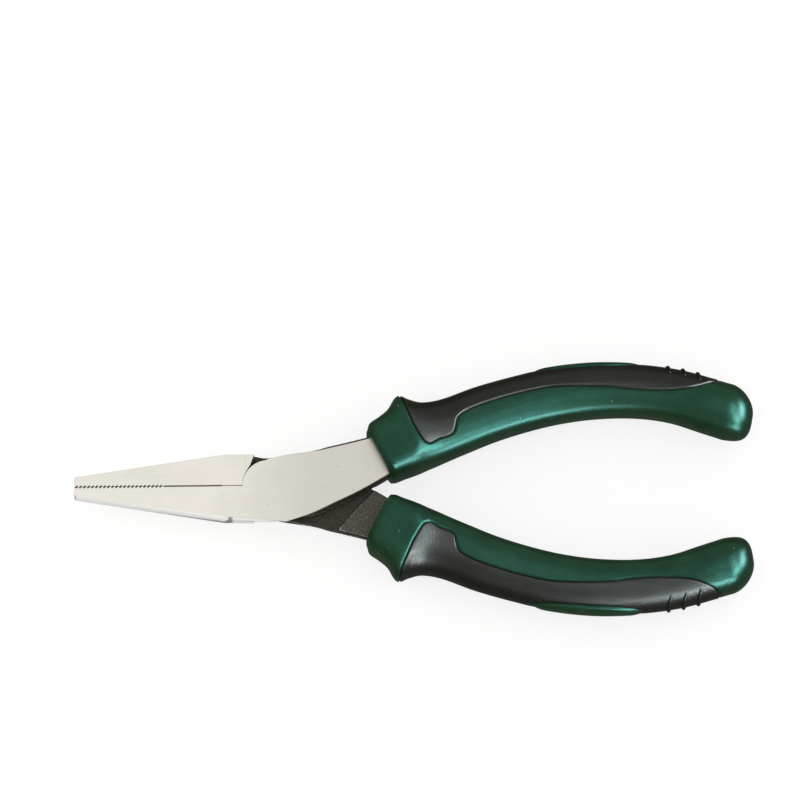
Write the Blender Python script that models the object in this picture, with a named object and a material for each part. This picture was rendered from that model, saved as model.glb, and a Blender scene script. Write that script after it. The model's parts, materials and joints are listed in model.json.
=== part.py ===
"""Needle nose pliers, 160 mm: two forged levers on one flush rivet, each with a two-material handle.

The pliers lie flat and closed. X runs from the nose (-X) to the handles (+X), Y across the handles and
Z up through the thickness. The origin is under the middle of the whole tool, on the surface it lies on.
Each half is modelled about the rivet's axis, in millimetres, and hangs from an empty on that axis.
"""

import math

import bmesh
import bpy
import numpy as np

MM = 0.001

# Length, measured along X from the rivet's axis
NOSE_TIP_X = -45.75
HANDLE_END_X = 114.4
# Head
HEAD_HALF_THICKNESS = 4.05
TIP_HALF_THICKNESS = 2.2
NOSE_TAPER_START_X = -8.0
TIP_HALF_WIDTH = 2.4
LAP_GAP = 0.1
DISC_RADIUS = 6.4
DISC_TOP_ANGLE = math.radians(91)
DISC_POINTS = 17
SHOULDER_GAP = 0.14
SHOULDER_ANGLE = math.radians(129.5)
SHOULDER_POINTS = 26
SHANK_BACK_Z = -1.3
SHANK_CUT_X = 9.0
SHANK_CUT_HALF_WIDTH = 14.0
ARM_END_X = 45.0
TAPER_REACH_Y = 20.0
OVERCUT = 1.0
# Jaw faces: teeth first, then a relieved stretch, then a land by the joint
TOOTH_COUNT = 22
TOOTH_PITCH = 0.946
TOOTH_DEPTH = 0.36
TOOTH_GROOVE = 0.62
TOOTH_FIRST = 0.55
TOOTH_SHIFT = 0.12
CREST_Y = 0.05
RELIEF_Y = 0.17
RELIEF_START_GAP = 0.25
RELIEF_SLOPE = 0.15
RELIEF_END_X = -11.0
LAND_Y = 0.08
LAND_SLOPE = 0.1
# Rivet
RIVET_RADIUS = 2.6
RIVET_HEAD_RADIUS = 3.7
RIVET_COUNTERSINK = 1.3
RIVET_LAND = 0.15
RIVET_CLEARANCE = 0.06
# Tang inside the handle
TANG_BACK_Z = -1.2
TANG_FRONT_Z = 3.0
TANG_CLEARANCE = 0.3
SOCKET_FLOOR = 0.05
# Handle
REST_HALF_THICKNESS = 8.5
SKIN = 1.5
MOULD_GAP = 0.3
RAISED = 0.4
DOME_OUTSIDE = 1.65
DOME_INSIDE = 3.6
DOME_THROUGH = 2.3
THINNEST = 0.3
CAP_INWARD = (0.9, 0.43)
GRIP_CAP_INSET = 1.2
CORE_CAP_INSET = 1.5
PAD_SQUARENESS = 2.6
PAD_X = (62.5, 87.8)
PAD_HALF_HEIGHT = 3.9
PAD_ROOT_Y = 23.0
PAD_WINDOW_Y = 25.0
RIB_RIDGES = ((94.1, 29.4), (97.7, 28.5), (101.2, 27.6))
RIB_WIDTH = 0.7
RIB_HALF_LENGTH = 4.4
RIB_REACH = 4.5
RIB_LEAN = -0.25

# Mesh fineness
AROUND = 28
ROUND_STEPS = 48
PAD_STEPS = 28
SPAN_STEPS = 2
DOME_STEPS = 8

# Handle stations: outer edge x, y, inner edge x, y, half thickness, squareness outside and inside
HANDLE_STATIONS = (
    (23.2, 13.4, 29.3, 1.9, 7.9, 3.2, 3.0),
    (23.8, 15.1, 30.3, 2.1, 9.2, 3.2, 3.0),
    (25.9, 16.6, 32.0, 2.8, 9.4, 3.2, 3.0),
    (28.0, 18.5, 34.0, 3.5, 9.4, 3.0, 3.0),
    (29.5, 21.1, 36.1, 4.3, 9.4, 2.8, 3.0),
    (30.7, 22.0, 37.7, 5.0, 8.9, 2.6, 3.0),
    (33.1, 21.1, 39.9, 5.9, 8.1, 2.5, 3.0),
    (36.3, 20.5, 42.6, 7.1, 7.5, 2.4, 3.0),
    (41.1, 21.4, 46.8, 8.9, 7.2, 2.3, 3.0),
    (48.6, 24.2, 53.6, 11.7, 7.0, 2.3, 3.0),
    (57.1, 26.7, 61.0, 14.1, 6.8, 2.2, 3.0),
    (66.5, 28.9, 68.8, 16.0, 6.6, 2.2, 3.0),
    (77.0, 30.0, 77.4, 17.2, 6.6, 2.2, 3.0),
    (88.0, 29.7, 86.6, 17.4, 6.7, 2.2, 3.0),
    (97.4, 28.4, 94.6, 16.3, 7.0, 2.2, 2.8),
    (105.0, 26.3, 102.0, 13.9, 7.5, 2.3, 2.6),
    (109.0, 25.1, 107.1, 12.2, 7.6, 2.4, 2.5),
)

# Edge between rubber and hard plastic, from the guard's groove round to the bulb
GRIP_EDGE = (
    (29.4, 26.0),
    (30.6, 22.6),
    (31.9, 18.5),
    (36.8, 9.8),
    (40.5, 10.6),
    (43.7, 12.1),
    (44.8, 15.9),
    (48.2, 18.2),
    (55.0, 20.6),
    (62.2, 22.5),
    (68.0, 23.4),
    (78.3, 23.5),
    (86.0, 22.7),
    (92.5, 22.4),
    (99.0, 22.9),
    (103.5, 24.3),
    (107.5, 26.6),
    (111.0, 31.0),
)
OUTSIDE_Y = 36.0

# Arm edges of the lever, from the disc to the guard
ARM_TOP = ((4.2, 7.4), (11.3, 8.4), (14.8, 9.15), (22.0, 10.9), (27.0, 12.4))
ARM_BOTTOM = ((30.0, 3.9), (22.0, -0.9), (15.4, -4.15), (10.2, -6.65), (4.2, -8.7))
JAW_OUTSIDE = ((-3.4, -7.95), (-10.4, -7.6))
STEP_LINE = ((16.2, 12.4), (16.7, 10.0), (17.6, 8.7), (20.7, 5.2), (25.0, 0.8), (27.4, -1.8))
SHOULDER_TOP = ((-3.2, -12.0), (-3.5, -7.6))
LAP_ABOVE = ((0.0, 14.0), (15.8, 14.0))
LAP_BELOW = (27.4, -12.0)
TANG_CENTRE = ((24.5, 6.4), (34.0, 11.3), (44.0, 15.6), (56.0, 20.3), (70.0, 23.2), (80.0, 23.9))
TANG_HALF_WIDTHS = (4.6, 4.0, 3.3, 2.9, 2.5, 2.2)
TANG_STEPS = 4


def clear_scene():
    for obj in list(bpy.data.objects):
        bpy.data.objects.remove(obj, do_unlink=True)


def material(name, colour, roughness, metallic=0.0):
    made = bpy.data.materials.new(name)
    made.use_nodes = True
    shader = made.node_tree.nodes["Principled BSDF"]
    shader.inputs["Base Color"].default_value = (*colour, 1.0)
    shader.inputs["Roughness"].default_value = roughness
    shader.inputs["Metallic"].default_value = metallic
    made.diffuse_color = (*colour, 1.0)
    return made


def mesh_object(name, mesh, parent):
    obj = bpy.data.objects.new(name, mesh)
    bpy.context.scene.collection.objects.link(obj)
    obj.parent = parent
    return obj


def as_cutter(obj):
    obj.hide_render = True
    obj.display_type = "WIRE"
    return obj


def boolean(obj, other, operation):
    modifier = obj.modifiers.new(f"{operation.lower()} {other.name}", "BOOLEAN")
    modifier.object = other
    modifier.operation = operation
    modifier.solver = "EXACT"


def smooth_curve(points, steps):
    """Catmull-Rom curve through rows of numbers, with this many steps for each span."""
    rows = np.array(points, float)
    padded = np.vstack([2 * rows[0] - rows[1], rows, 2 * rows[-1] - rows[-2]])
    t = np.linspace(0, 1, steps, endpoint=False)[:, None]
    spans = []
    for i in range(len(rows) - 1):
        a, b, c, d = padded[i : i + 4]
        spans.append(
            0.5 * (2 * b + (c - a) * t + (2 * a - 5 * b + 4 * c - d) * t**2
                   + (3 * b - a - 3 * c + d) * t**3)
        )
    return np.vstack([*spans, rows[-1:]])


def prism(name, outline, low, high, axis="Z"):
    """An outline of (x, y) extruded from low to high in Z or, for axis Y, an outline of (x, z) in Y."""
    points = np.array(outline, float)
    area = np.sum(points[:, 0] * np.roll(points[:, 1], -1) - points[:, 1] * np.roll(points[:, 0], -1))
    if area < 0:
        points = points[::-1]
    bm = bmesh.new()
    rings = []
    for level in (low, high):
        if axis == "Z":
            ring = [bm.verts.new((x * MM, y * MM, level * MM)) for x, y in points]
        else:
            ring = [bm.verts.new((x * MM, level * MM, z * MM)) for x, z in points]
        rings.append(ring)
    count = len(points)
    for i in range(count):
        j = (i + 1) % count
        bm.faces.new((rings[0][i], rings[0][j], rings[1][j], rings[1][i]))
    bm.faces.new(rings[0][::-1])
    bm.faces.new(rings[1])
    bmesh.ops.recalc_face_normals(bm, faces=bm.faces)
    mesh = bpy.data.meshes.new(name)
    bm.to_mesh(mesh)
    bm.free()
    return mesh


def grown(outline, by):
    """A counterclockwise outline with every side moved outwards by a distance."""
    points = np.array(outline, float)
    side = np.roll(points, -1, axis=0) - points
    side /= np.linalg.norm(side, axis=1)[:, None]
    normal = np.stack([side[:, 1], -side[:, 0]], axis=1)
    before = np.roll(normal, 1, axis=0)
    mitre = (normal + before) / (1 + np.sum(normal * before, axis=1))[:, None]
    return [tuple(point) for point in points + mitre * by]


def arc(radius, start, end, count):
    angles = np.linspace(start, end, count)
    return [(radius * math.cos(a), radius * math.sin(a)) for a in angles]


def tooth_line(shift):
    """The jaw's gripping edge from the tip to the joint: V grooves, then the relief, then the land."""
    points = [(NOSE_TIP_X, -CREST_Y)]
    for i in range(TOOTH_COUNT):
        centre = NOSE_TIP_X + TOOTH_PITCH * (i + TOOTH_FIRST) + shift
        points.append((centre - TOOTH_GROOVE / 2, -CREST_Y))
        points.append((centre, -CREST_Y - TOOTH_DEPTH))
        points.append((centre + TOOTH_GROOVE / 2, -CREST_Y))
    relief_start = NOSE_TIP_X + TOOTH_PITCH * TOOTH_COUNT + shift + RELIEF_START_GAP
    points += [(relief_start, -CREST_Y), (relief_start + RELIEF_SLOPE, -RELIEF_Y)]
    points += [(RELIEF_END_X, -RELIEF_Y), (RELIEF_END_X + LAND_SLOPE, -LAND_Y)]
    return points


def lever_outline(tooth_shift):
    """Front-face outline: tip, gripping edge, disc, arm out to the guard and back along the jaw."""
    disc = arc(DISC_RADIUS, math.pi + LAND_Y / DISC_RADIUS, DISC_TOP_ANGLE, DISC_POINTS)
    back = [(NOSE_TIP_X, -TIP_HALF_WIDTH)]
    return tooth_line(tooth_shift) + disc + list(ARM_TOP) + list(ARM_BOTTOM) + list(JAW_OUTSIDE) + back


def lap_outline():
    """What is cut from the back of the front lever: the other lever's half of the joint."""
    radius = DISC_RADIUS + SHOULDER_GAP
    shoulder = arc(radius, 2 * math.pi - SHOULDER_ANGLE, math.pi / 2, SHOULDER_POINTS)
    return [*SHOULDER_TOP, *shoulder, *LAP_ABOVE, *STEP_LINE, LAP_BELOW]


def tang_outline():
    centre = smooth_curve(TANG_CENTRE, TANG_STEPS)
    widths = np.interp(np.linspace(0, 1, len(centre)), np.linspace(0, 1, len(TANG_HALF_WIDTHS)),
                       TANG_HALF_WIDTHS)
    along = np.gradient(centre, axis=0)
    along /= np.linalg.norm(along, axis=1)[:, None]
    normal = np.stack([-along[:, 1], along[:, 0]], axis=1)
    left = centre + normal * widths[:, None]
    right = centre - normal * widths[:, None]
    return [*map(tuple, right), *map(tuple, left[::-1])]


def turned(name, profile):
    """A closed solid turned about Z from (radius, z) points that run from top to bottom."""
    bm = bmesh.new()
    rings = []
    for radius, z in profile:
        rings.append([
            bm.verts.new((radius * MM * math.cos(a), radius * MM * math.sin(a), z * MM))
            for a in np.arange(ROUND_STEPS) * (2 * math.pi / ROUND_STEPS)
        ])
    for upper, lower in zip(rings, rings[1:]):
        for i in range(ROUND_STEPS):
            j = (i + 1) % ROUND_STEPS
            bm.faces.new((upper[i], lower[i], lower[j], upper[j]))
    bm.faces.new(rings[0])
    bm.faces.new(rings[-1][::-1])
    bmesh.ops.recalc_face_normals(bm, faces=bm.faces)
    mesh = bpy.data.meshes.new(name)
    bm.to_mesh(mesh)
    bm.free()
    mesh.shade_smooth()
    mesh.set_sharp_from_angle(angle=math.radians(30))
    return mesh


def rivet_profile(clearance, overshoot):
    """Shank with a countersunk head at each end; a clearance makes it the hole's cutter."""
    shank = RIVET_RADIUS + clearance
    head = RIVET_HEAD_RADIUS + clearance
    face = HEAD_HALF_THICKNESS
    under = face - RIVET_COUNTERSINK
    half = [(head, face + overshoot), (head, face - RIVET_LAND), (shank, under)]
    return half + [(radius, -z) for radius, z in reversed(half)]


def make_lever(name, parent, tooth_shift, finish):
    """One forging: jaw, half of the lap joint, arm and tang."""
    lever = mesh_object(name, prism(name, lever_outline(tooth_shift), -HEAD_HALF_THICKNESS,
                                    HEAD_HALF_THICKNESS), parent)
    deep = HEAD_HALF_THICKNESS + OVERCUT
    lap = mesh_object(f"{name}_lap_cut", prism("lap", lap_outline(), -deep, LAP_GAP / 2), parent)
    low, high = -SHANK_CUT_HALF_WIDTH, SHANK_CUT_HALF_WIDTH
    behind = [(SHANK_CUT_X, low), (ARM_END_X, low), (ARM_END_X, high), (SHANK_CUT_X, high)]
    shank = mesh_object(f"{name}_shank_cut", prism("shank", behind, -deep, SHANK_BACK_Z), parent)
    slope = (HEAD_HALF_THICKNESS - TIP_HALF_THICKNESS) / (NOSE_TAPER_START_X - NOSE_TIP_X)
    near = TIP_HALF_THICKNESS - slope * OVERCUT
    far = TIP_HALF_THICKNESS + slope * (ARM_END_X - NOSE_TIP_X)
    start = NOSE_TIP_X - OVERCUT
    side = [(start, -near), (ARM_END_X, -far), (ARM_END_X, far), (start, near)]
    taper = mesh_object(f"{name}_nose_taper", prism("taper", side, -TAPER_REACH_Y, TAPER_REACH_Y, axis="Y"),
                        parent)
    hole = mesh_object(f"{name}_rivet_hole", turned("hole", rivet_profile(RIVET_CLEARANCE, OVERCUT)), parent)
    tang = mesh_object(f"{name}_tang", prism("tang", tang_outline(), TANG_BACK_Z, TANG_FRONT_Z), parent)
    for cutter in (lap, shank, hole, taper, tang):
        as_cutter(cutter)
    boolean(lever, lap, "DIFFERENCE")
    boolean(lever, shank, "DIFFERENCE")
    boolean(lever, hole, "DIFFERENCE")
    boolean(lever, taper, "INTERSECT")
    boolean(lever, tang, "UNION")
    lever.data.materials.append(finish)
    return lever


def make_rivet(parent, finish):
    rivet = mesh_object("pivot_rivet", turned("pivot_rivet", rivet_profile(0.0, 0.0)), parent)
    rivet.data.materials.append(finish)
    return rivet


def handle_rows():
    """Handle stations refined along the length, then a dome that closes the bulb end."""
    body = smooth_curve(HANDLE_STATIONS, SPAN_STEPS)
    last = body[-1]
    outer, inner = last[0:2], last[2:4]
    across = outer - inner
    forward = np.array([across[1], -across[0]]) / np.linalg.norm(across)
    reach = (HANDLE_END_X - (outer[0] + inner[0]) / 2) / forward[0]
    rows = list(body)
    for share in np.sin(np.linspace(0, math.pi / 2, DOME_STEPS + 1))[1:-1]:
        out, inside, through = (
            (1 - share**power) ** (1 / power) for power in (DOME_OUTSIDE, DOME_INSIDE, DOME_THROUGH)
        )
        middle = (outer + inner) / 2 + forward * reach * share
        rows.append(np.array([*(middle + across / 2 * out), *(middle - across / 2 * inside),
                              last[4] * through, last[5], last[6]]))
    tip = (outer + inner) / 2 + forward * reach
    return np.array(rows), tip


def handle_mesh(name, grow, cap_shift=0.0):
    """The handle's closed surface, grown outwards by a distance that may be negative.

    Each station is a superellipse between the outer and the inner edge; its own squareness rules the
    outer and the inner side, and the thickness is held flat where it would pass the rest face.
    """
    rows, tip = handle_rows()
    turn = np.arange(AROUND) * (2 * math.pi / AROUND)
    cosine, sine = np.cos(turn), np.sin(turn)
    bm = bmesh.new()
    rings = []
    inward = np.array(CAP_INWARD)
    for index, (ox, oy, ix, iy, half, square_out, square_in) in enumerate(rows):
        outer, inner = np.array([ox, oy]), np.array([ix, iy])
        middle = (outer + inner) / 2
        across = (outer - inner) / 2
        width = np.linalg.norm(across)
        if min(width, half) + grow < THINNEST:
            continue
        if index == 0:
            middle = middle + inward * cap_shift
        across = across / width * (width + grow)
        power = np.where(cosine >= 0, 2 / square_out, 2 / square_in)
        f = np.sign(cosine) * np.abs(cosine) ** power
        g = np.sign(sine) * np.abs(sine) ** power
        limit = REST_HALF_THICKNESS + min(grow, 0.0)
        z = np.clip(g * (half + grow), -limit, limit)
        rings.append([
            bm.verts.new(((middle[0] + across[0] * a) * MM, (middle[1] + across[1] * a) * MM, b * MM))
            for a, b in zip(f, z)
        ])
    for low, high in zip(rings, rings[1:]):
        for i in range(AROUND):
            j = (i + 1) % AROUND
            bm.faces.new((low[i], low[j], high[j], high[i]))
    bm.faces.new(rings[0][::-1])
    end = bm.verts.new(((tip[0] + grow) * MM, tip[1] * MM, 0.0))
    for i in range(AROUND):
        bm.faces.new((rings[-1][i], rings[-1][(i + 1) % AROUND], end))
    bmesh.ops.recalc_face_normals(bm, faces=bm.faces)
    mesh = bpy.data.meshes.new(name)
    bm.to_mesh(mesh)
    bm.free()
    mesh.shade_smooth()
    mesh.set_sharp_from_angle(angle=math.radians(40))
    return mesh


def grip_zone(grow):
    """Plan of the rubber, out past the handle's outer side, with its edge moved by grow."""
    edge = np.array(GRIP_EDGE)
    along = np.gradient(edge, axis=0)
    along /= np.linalg.norm(along, axis=1)[:, None]
    edge = edge + np.stack([along[:, 1], -along[:, 0]], axis=1) * grow
    return [*map(tuple, edge), (edge[-1][0], OUTSIDE_Y), (edge[0][0], OUTSIDE_Y)]


def pad_plan(grow):
    """Long lens with round ends, in (x, z): the hard pad that shows through the rubber."""
    low, high = PAD_X
    middle = (low + high) / 2
    half = (high - low) / 2 + grow
    tall = PAD_HALF_HEIGHT + grow
    turn = np.arange(PAD_STEPS) * (2 * math.pi / PAD_STEPS)
    power = 2 / PAD_SQUARENESS
    x = middle + half * np.sign(np.cos(turn)) * np.abs(np.cos(turn)) ** power
    z = tall * np.sign(np.sin(turn)) * np.abs(np.sin(turn)) ** power
    return list(zip(x, z))


def rib_plan(x, y):
    """A leaning bar across the grip, in (x, y), through a point of its outer ridge."""
    half = RIB_WIDTH / 2
    lean = RIB_REACH * RIB_LEAN
    return [(x - half - lean, y - RIB_REACH), (x + half - lean, y - RIB_REACH),
            (x + half + lean, y + RIB_REACH), (x - half + lean, y + RIB_REACH)]


def make_handle(side, parent, core_finish, grip_finish):
    """One handle: the hard core on its tang and the rubber moulded over it."""

    def helper(label, mesh):
        return as_cutter(mesh_object(f"{side}_{label}", mesh, parent))

    raised = helper("raised_skin", handle_mesh("raised", RAISED))
    under_grip = helper("under_grip", handle_mesh("under grip", -SKIN, GRIP_CAP_INSET))
    under_core = helper("under_core", handle_mesh("under core", -SKIN - MOULD_GAP, CORE_CAP_INSET))
    deep = REST_HALF_THICKNESS + OVERCUT

    grip = mesh_object(f"{side}_grip_overlay", handle_mesh("grip", 0.0), parent)
    zone = helper("grip_zone", prism("grip zone", grip_zone(0.0), -deep, deep))
    window = helper("pad_window", prism("pad window", pad_plan(MOULD_GAP), PAD_WINDOW_Y,
                                        OUTSIDE_Y + OVERCUT, axis="Y"))
    for number, ridge in enumerate(RIB_RIDGES):
        bar = helper(f"rib_bar_{number}",
                     prism("rib", rib_plan(*ridge), -RIB_HALF_LENGTH, RIB_HALF_LENGTH))
        boolean(bar, raised, "INTERSECT")
        boolean(grip, bar, "UNION")
    boolean(grip, zone, "INTERSECT")
    boolean(grip, under_grip, "DIFFERENCE")
    boolean(grip, window, "DIFFERENCE")
    grip.data.materials.append(grip_finish)

    core = mesh_object(f"{side}_handle_core", handle_mesh("core", 0.0), parent)
    recess = helper("grip_recess", prism("grip recess", grip_zone(MOULD_GAP), -deep, deep))
    boolean(recess, under_core, "DIFFERENCE")
    pad = helper("pad", prism("pad", pad_plan(0.0), PAD_ROOT_Y, OUTSIDE_Y, axis="Y"))
    boolean(pad, raised, "INTERSECT")
    pocket = helper("tang_pocket", prism("pocket", grown(tang_outline(), TANG_CLEARANCE),
                                         TANG_BACK_Z - TANG_CLEARANCE, TANG_FRONT_Z + TANG_CLEARANCE))
    arm_end = [ARM_BOTTOM[1], ARM_BOTTOM[0], ARM_TOP[-1], ARM_TOP[-2]]
    socket = helper("arm_socket", prism("socket", grown(arm_end, TANG_CLEARANCE),
                                        SHANK_BACK_Z - TANG_CLEARANCE - SOCKET_FLOOR,
                                        HEAD_HALF_THICKNESS + TANG_CLEARANCE))
    boolean(core, recess, "DIFFERENCE")
    boolean(core, pad, "UNION")
    boolean(core, pocket, "DIFFERENCE")
    boolean(core, socket, "DIFFERENCE")
    core.data.materials.append(core_finish)
    return core, grip


def main():
    clear_scene()
    steel = material("ground_steel", (0.62, 0.60, 0.56), 0.35, 1.0)
    rivet_steel = material("rivet_steel", (0.58, 0.56, 0.53), 0.38, 1.0)
    green = material("green_plastic", (0.02, 0.13, 0.08), 0.42)
    black = material("black_rubber", (0.03, 0.03, 0.028), 0.7)

    rows, tip = handle_rows()
    furthest = max(rows[:, 0].max(), rows[:, 2].max(), tip[0])
    origin = (-(NOSE_TIP_X + furthest) / 2 * MM, 0.0, REST_HALF_THICKNESS * MM)
    halves = {}
    for name, turn in (("front_half", 0.0), ("rear_half", math.pi)):
        empty = bpy.data.objects.new(name, None)
        bpy.context.scene.collection.objects.link(empty)
        empty.location = origin
        empty.rotation_euler = (turn, 0.0, 0.0)
        halves[name] = empty

    make_lever("front_lever", halves["front_half"], -TOOTH_SHIFT, steel)
    make_lever("rear_lever", halves["rear_half"], TOOTH_SHIFT, steel)
    make_rivet(halves["rear_half"], rivet_steel)
    make_handle("upper", halves["front_half"], green, black)
    make_handle("lower", halves["rear_half"], green, black)


main()
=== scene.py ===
"""Needle nose pliers: the finished surfaces of a 160 mm pair of pliers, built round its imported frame.

Each half is worked out in millimetres about the rivet's axis, with X towards the handles and Z through the
thickness. The front half lies as it is, and the rear half is the same forging turned half a turn about X.
"""

import json
import math

import bmesh
import bpy
import numpy as np
from bpy.props import FloatProperty, FloatVectorProperty, IntProperty, PointerProperty
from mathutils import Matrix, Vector

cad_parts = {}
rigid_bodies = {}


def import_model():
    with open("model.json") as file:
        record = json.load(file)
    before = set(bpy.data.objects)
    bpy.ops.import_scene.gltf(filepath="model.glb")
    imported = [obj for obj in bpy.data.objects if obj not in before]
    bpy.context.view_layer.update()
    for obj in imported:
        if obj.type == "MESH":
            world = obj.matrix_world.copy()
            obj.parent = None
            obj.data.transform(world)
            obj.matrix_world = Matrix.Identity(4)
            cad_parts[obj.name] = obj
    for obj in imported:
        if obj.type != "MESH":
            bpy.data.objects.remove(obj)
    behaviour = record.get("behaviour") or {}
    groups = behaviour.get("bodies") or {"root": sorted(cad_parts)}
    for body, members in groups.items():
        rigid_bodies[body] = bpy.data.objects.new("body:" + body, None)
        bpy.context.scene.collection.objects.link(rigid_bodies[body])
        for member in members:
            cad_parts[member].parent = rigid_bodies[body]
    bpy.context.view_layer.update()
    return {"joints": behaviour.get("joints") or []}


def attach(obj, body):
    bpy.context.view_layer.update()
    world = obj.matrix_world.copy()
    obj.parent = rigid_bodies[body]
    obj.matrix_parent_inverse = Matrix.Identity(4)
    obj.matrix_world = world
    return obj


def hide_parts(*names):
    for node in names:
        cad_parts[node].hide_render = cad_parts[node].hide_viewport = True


bl_info = {
    "name": "Needle nose pliers",
    "version": (1, 0, 0),
    "blender": (4, 5, 0),
    "location": "View3D > Sidebar > Pliers",
    "description": "Builds needle nose pliers with two-material handles on a packed frame",
    "category": "Add Mesh",
}

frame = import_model()

MM = 0.001
MERGE_DISTANCE = 0.001 * MM
TINY = 1e-6
PIVOT = Vector(frame["joints"][0]["pos_m"])
FRONT_BODY = "front_half"
REAR_BODY = "rear_half"

# Shading of the steel: edges past the angle stay sharp, and faces this square to Z are flat
SMOOTH_ANGLE = math.radians(40)
FACE_NORMAL_Z = 0.998

# Head, in millimetres from the rivet's axis; the taper starts at the numbered corner of the jaw's outside
NOSE_TIP_X = -45.75
NOSE_TAPER_START_X = -8.0
TIP_HALF_WIDTH = 2.4
TIP_HALF_THICKNESS = 2.2
TIP_CORNER = 0.35
HEAD_HALF_THICKNESS = 4.05
JAW_OUTSIDE = ((0.2, -8.36), (-3.4, -7.95), (-8.0, -7.72), (-10.4, -7.6))
TAPER_CORNER = 2
JAW_SLOPE = (JAW_OUTSIDE[-1][1] + TIP_HALF_WIDTH) / (NOSE_TIP_X - JAW_OUTSIDE[-1][0])

# Gripping edge: teeth, then a relief, then the land next to the joint
TOOTH_COUNT = 22
TOOTH_PITCH = 0.946
TOOTH_FIRST = 0.55
TOOTH_DEPTH = 0.36
TOOTH_GROOVE = 0.62
TOOTH_SHIFT = 0.12
CREST_Y = 0.05
RELIEF_Y = 0.17
RELIEF_STARTS_AFTER = 0.25
RELIEF_SLOPE_RUN = 0.15
RELIEF_END_X = -11.0
LAND_Y = 0.08
LAND_SLOPE_RUN = 0.1

# Lap joint: the disc, the shoulder that it turns in and the step at the back
LAP_GAP = 0.1
DISC_RADIUS = 6.1
DISC_TOP_ANGLE = math.radians(98)
DISC_POINTS = 25
SHOULDER_TOP_ANGLE = math.radians(90)
SHOULDER_END_ANGLE = math.radians(228)
SHOULDER_OPENS = (math.radians(186), math.radians(204), math.radians(218), math.radians(228))
SHOULDER_GAPS = (0.012, 0.08, 0.2, 0.4)
SHOULDER_TOP = ((-3.1, -12.0), (-3.4, -7.4))
SHOULDER_POINTS = 60
LAP_ABOVE = ((0.0, 14.0), (15.8, 14.0))
LAP_BELOW = (27.4, -12.0)
STEP_LINE = ((16.2, 12.4), (16.7, 10.0), (17.6, 8.7), (20.7, 5.2), (25.0, 0.8), (27.4, -1.8))
STEP_LINE_STEPS = 4
SHANK_BACK_Z = -1.3
SHANK_CUT_X = 9.0
CUTTER_REACH_X = 95.0
CUTTER_REACH_Y = 40.0
OVERCUT = 1.0

# Arms and tangs
ARM_TOP = ((-0.2, 6.35), (4.2, 7.4), (11.3, 8.4), (14.8, 9.15), (22.0, 10.9), (27.0, 12.4), (34.0, 15.2))
ARM_BOTTOM = ((34.0, 7.2), (30.0, 3.9), (22.0, -0.9), (15.4, -4.15), (10.2, -6.65), (4.2, -8.7))
ARM_STEPS = 5
TANG_TOP = ((44.0, 18.8), (56.0, 23.1), (70.0, 25.6), (80.0, 26.1))
TANG_BOTTOM = ((80.0, 21.7), (70.0, 20.8), (56.0, 17.5), (44.0, 12.4))
TANG_STEPS = 2

# Forging's sides: where the parting ridge grows, and how far the outer side is cut under and tucked in
TOP_RIDGE_X = (4.0, 14.0)
BOTTOM_RIDGE_X = (9.0, 14.0)
RIDGE_HALF_HEIGHT = 0.12
UNDERCUT = 1.25
FRONT_UNDERCUT_X = (-2.0, 4.5, 5.0, 11.0)
REAR_UNDERCUT_X = (-3.0, 0.2, 5.0, 11.0)
TUCK = 0.42
TUCK_X = (-14.0, -5.0, 5.0, 11.0)

# Rounded edge from a face down to the side: depth and distance in, as shares of its radius
EDGE_ROUNDING = ((0.0, 1.0), (0.3, 0.3), (1.0, 0.0))

# Rivet
RIVET_RADIUS = 2.6
RIVET_HEAD_RADIUS = 3.7
RIVET_COUNTERSINK = 1.3
RIVET_LAND = 0.15
RIVET_SIDES = 64
RIVET_CLEARANCE = 0.01
HOLE_OVERCUT = 0.8

# Handle
HANDLES = (("upper", FRONT_BODY, False), ("lower", REAR_BODY, True))
REST_HALF_THICKNESS = 8.5
FLAT_BLEND = 0.22
HANDLE_END_X = 114.4
DOME_OUTSIDE = 1.75
DOME_INSIDE = 3.6
DOME_THROUGH = 2.3
DOME_RINGS = 43
STATION_SAMPLES = 2000

# Cap at the guard: rings over its rounded rim, then rings across its face
CAP_RIM_RINGS = 4
CAP_RIM_SHARE = 0.08
CAP_FACE_RINGS = 11
CAP_BULGE = 0.3
CAP_DIRECTION = (-0.88, -0.47, 0.0)

# Pad and the window that it shows through
PAD_X = (62.5, 87.8)
PAD_HALF_HEIGHT = 3.9
PAD_SQUARENESS = 2.6
PAD_RINGS = 22
PAD_COLUMNS = 96
PAD_RIM_WIDTH = 0.7
PAD_RIM_DROP = 0.35
PAD_SIDE_Y = 22.0
FAR_FROM_PAD = 99.0
WINDOW_RIM_WIDTH = 0.5
WINDOW_RIM_DROP = 0.4

# Ribs: where each one crosses the handle's ridge, its lean and where it ends, as an angle round the handle
RIB_RIDGES = ((94.1, 29.4), (97.7, 28.5), (101.2, 27.6))
RIB_LEAN = -0.25
RIB_END_TURN = 0.9
RIB_BLUNTNESS = 6
RIB_POINTS = 49
RIB_SIDES = 16
RIB_LINE_PASSES = 4
NORMAL_STEP = 0.5

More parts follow.
